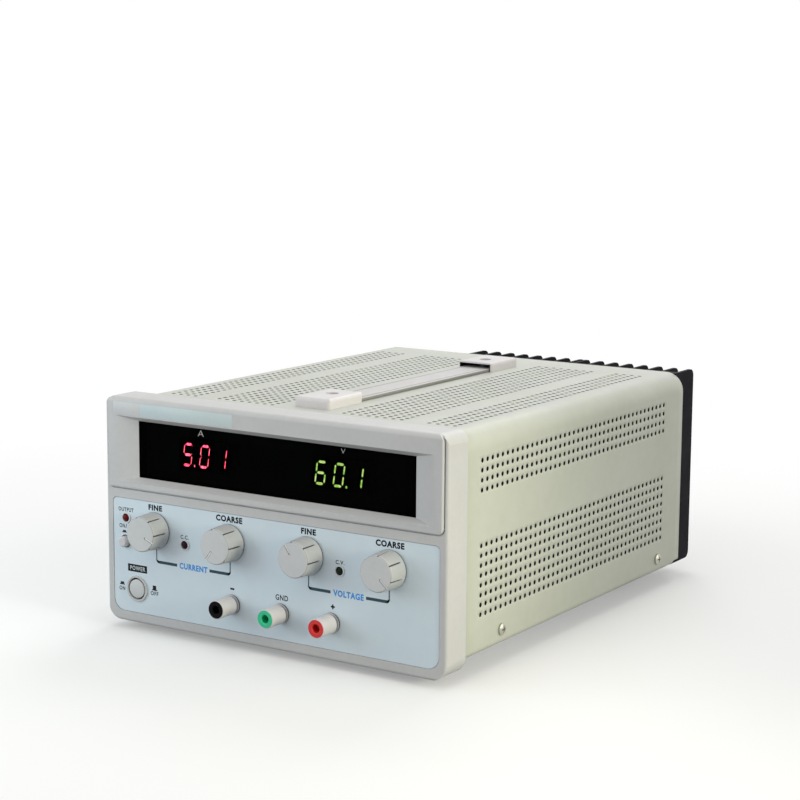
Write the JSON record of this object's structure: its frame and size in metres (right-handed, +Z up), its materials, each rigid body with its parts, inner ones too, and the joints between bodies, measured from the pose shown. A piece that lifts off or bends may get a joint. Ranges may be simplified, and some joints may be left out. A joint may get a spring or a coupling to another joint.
{
  "type": "regulated dc power supply",
  "caption": "Bench power supply box with displays, knobs and terminals on a moulded front, perforated cover, strap handle and finned rear.",
  "frame": {"origin": "centre of the footprint, on the ground under the feet", "axes": "+Z up, -Y towards the front face, +X to the right seen from the front"},
  "size_m": [0.259, 0.3686, 0.1562],
  "materials": {
    "bezel_plastic": "fine-textured light grey moulding",
    "panel_film": "satin pale blue printed film",
    "window_pane": "smoked gloss window",
    "black_plastic": "black moulding",
    "board": "green glass-fibre board",
    "zinc_sheet": "zinc-plated sheet steel",
    "knob_plastic": "light grey satin plastic",
    "ivory_plastic": "ivory moulding",
    "steel": "turned steel",
    "red_lamp": "dark red lens",
    "green_lamp": "dark green lens",
    "brass": "plated brass",
    "green_plastic": "green moulding",
    "red_plastic": "red moulding",
    "olive_paint": "fine-textured beige grey paint",
    "black_anodised": "black anodised extrusion",
    "lamination": "varnished steel laminations",
    "copper_winding": "varnished winding",
    "capacitor_sleeve": "dark blue sleeve",
    "relay_case": "blue case",
    "screw_steel": "bright plated screws",
    "rubber": "black rubber"
  },
  "bodies": {
    "root": {"front_bezel": "bezel_plastic", "control_panel": "panel_film", "display_window": "window_pane", "current_display": "black_plastic", "voltage_display": "black_plastic", "display_board": "board", "front_plate": "zinc_sheet", "control_board": "board", "potentiometers": "steel", "pot_nuts": "steel", "output_switch": "black_plastic", "power_ring": "bezel_plastic", "power_switch": "black_plastic", "output_lamp": "red_lamp", "current_lamp": "red_lamp", "voltage_lamp": "green_lamp", "lamp_collars": "ivory_plastic", "post_bases": "black_plastic", "post_studs": "brass", "post_insulators": "black_plastic", "post_nuts": "brass", "cover": "olive_paint", "chassis_tray": "zinc_sheet", "rear_panel": "zinc_sheet", "heat_sink": "black_anodised", "pass_transistors": "black_plastic", "transformer_core": "lamination", "transformer_coil": "copper_winding", "transformer_brackets": "zinc_sheet", "main_board": "board", "smoothing_capacitors": "capacitor_sleeve", "bridge_rectifier": "black_plastic", "range_relays": "relay_case", "inlet_body": "black_plastic", "inlet_pins": "brass", "handle_caps": "ivory_plastic", "case_screws": "screw_steel", "feet": "rubber"},
    "current_fine_control": {"current_fine_knob": "knob_plastic", "current_fine_shaft": "steel"},
    "current_coarse_control": {"current_coarse_knob": "knob_plastic", "current_coarse_shaft": "steel"},
    "voltage_fine_control": {"voltage_fine_knob": "knob_plastic", "voltage_fine_shaft": "steel"},
    "voltage_coarse_control": {"voltage_coarse_knob": "knob_plastic", "voltage_coarse_shaft": "steel"},
    "output_push": {"output_button": "ivory_plastic"},
    "power_push": {"power_button": "knob_plastic"},
    "minus_clamp": {"minus_washer": "steel"},
    "minus_grip": {"minus_collar": "ivory_plastic", "minus_insert": "black_plastic"},
    "earth_clamp": {"earth_washer": "steel"},
    "earth_grip": {"earth_collar": "ivory_plastic", "earth_insert": "green_plastic"},
    "plus_clamp": {"plus_washer": "steel"},
    "plus_grip": {"plus_collar": "ivory_plastic", "plus_insert": "red_plastic"},
    "fuse_slide": {"fuse_drawer": "black_plastic", "fuse": "screw_steel"},
    "strap": {"handle_strap": "bezel_plastic"}
  },
  "joints": [
    {"name": "current_fine_turn", "type": "hinge", "parent": "root", "child": "current_fine_control", "pos_m": [-0.0894, -0.1677, 0.0682], "axis": [0, 1, 0], "range_deg": [-264, 36]},
    {"name": "current_coarse_turn", "type": "hinge", "parent": "root", "child": "current_coarse_control", "pos_m": [-0.0298, -0.1677, 0.0682], "axis": [0, 1, 0], "range_deg": [-8, 292]},
    {"name": "voltage_fine_turn", "type": "hinge", "parent": "root", "child": "voltage_fine_control", "pos_m": [0.0298, -0.1677, 0.0682], "axis": [0, 1, 0], "range_deg": [-116, 184]},
    {"name": "voltage_coarse_turn", "type": "hinge", "parent": "root", "child": "voltage_coarse_control", "pos_m": [0.0894, -0.1677, 0.0682], "axis": [0, 1, 0], "range_deg": [-285, 15]},
    {"name": "output_press", "type": "slide", "parent": "root", "child": "output_push", "axis": [0, 1, 0], "range_m": [0, 0.0025], "stiffness_N_per_m": 200},
    {"name": "power_press", "type": "slide", "parent": "root", "child": "power_push", "axis": [0, 1, 0], "range_m": [-0.003, 0.0008]},
    {"name": "minus_travel", "type": "slide", "parent": "root", "child": "minus_clamp", "axis": [0, -1, 0], "range_m": [0, 0.004]},
    {"name": "minus_turn", "type": "hinge", "parent": "minus_clamp", "child": "minus_grip", "pos_m": [-0.028, -0.1677, 0.029], "axis": [0, -1, 0], "range_deg": [0, 1441]},
    {"name": "earth_travel", "type": "slide", "parent": "root", "child": "earth_clamp", "axis": [0, -1, 0], "range_m": [0, 0.004]},
    {"name": "earth_turn", "type": "hinge", "parent": "earth_clamp", "child": "earth_grip", "pos_m": [0.0098, -0.1677, 0.029], "axis": [0, -1, 0], "range_deg": [0, 1441]},
    {"name": "plus_travel", "type": "slide", "parent": "root", "child": "plus_clamp", "axis": [0, -1, 0], "range_m": [0, 0.004]},
    {"name": "plus_turn", "type": "hinge", "parent": "plus_clamp", "child": "plus_grip", "pos_m": [0.0476, -0.1677, 0.029], "axis": [0, -1, 0], "range_deg": [0, 1441]},
    {"name": "fuse_pull", "type": "slide", "parent": "root", "child": "fuse_slide", "axis": [0, 1, 0], "range_m": [0, 0.018]},
    {"name": "strap_lift", "type": "slide", "parent": "root", "child": "strap", "axis": [0, 0, 1], "range_m": [0, 0.0024]}
  ],
  "couplings": [
    {"joint": "minus_turn", "follows": "minus_travel", "rad_per_m": 6283.2},
    {"joint": "earth_turn", "follows": "earth_travel", "rad_per_m": 6283.2},
    {"joint": "plus_turn", "follows": "plus_travel", "rad_per_m": 6283.2}
  ]
}
